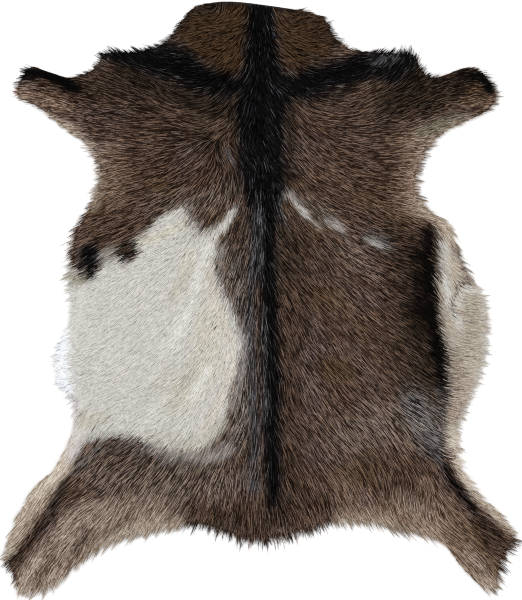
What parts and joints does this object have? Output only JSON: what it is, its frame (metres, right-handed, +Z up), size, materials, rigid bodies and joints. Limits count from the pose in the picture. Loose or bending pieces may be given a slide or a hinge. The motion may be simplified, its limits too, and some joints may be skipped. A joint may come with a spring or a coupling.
{
  "type": "goatskin rug",
  "caption": "Whole goatskin with its hair on, lying flat hair side up as a rug, with neck, four legs and a ragged hair rim.",
  "frame": {"origin": "on the floor under the middle of the hide's bounding box", "axes": "+Y to the neck, +X to the hide's right as seen from above, +Z up out of the coat"},
  "size_m": [0.8295, 0.9536, 0.0158],
  "materials": {
    "hair_coat": "short dense goat hair in brown, black and cream, lying flat, matt with a soft gloss along the hair",
    "leather": "tanned flesh side of the hide, pale buff suede, matt"
  },
  "bodies": {
    "root": {"goatskin": "hair_coat"}
  },
  "joints": []
}
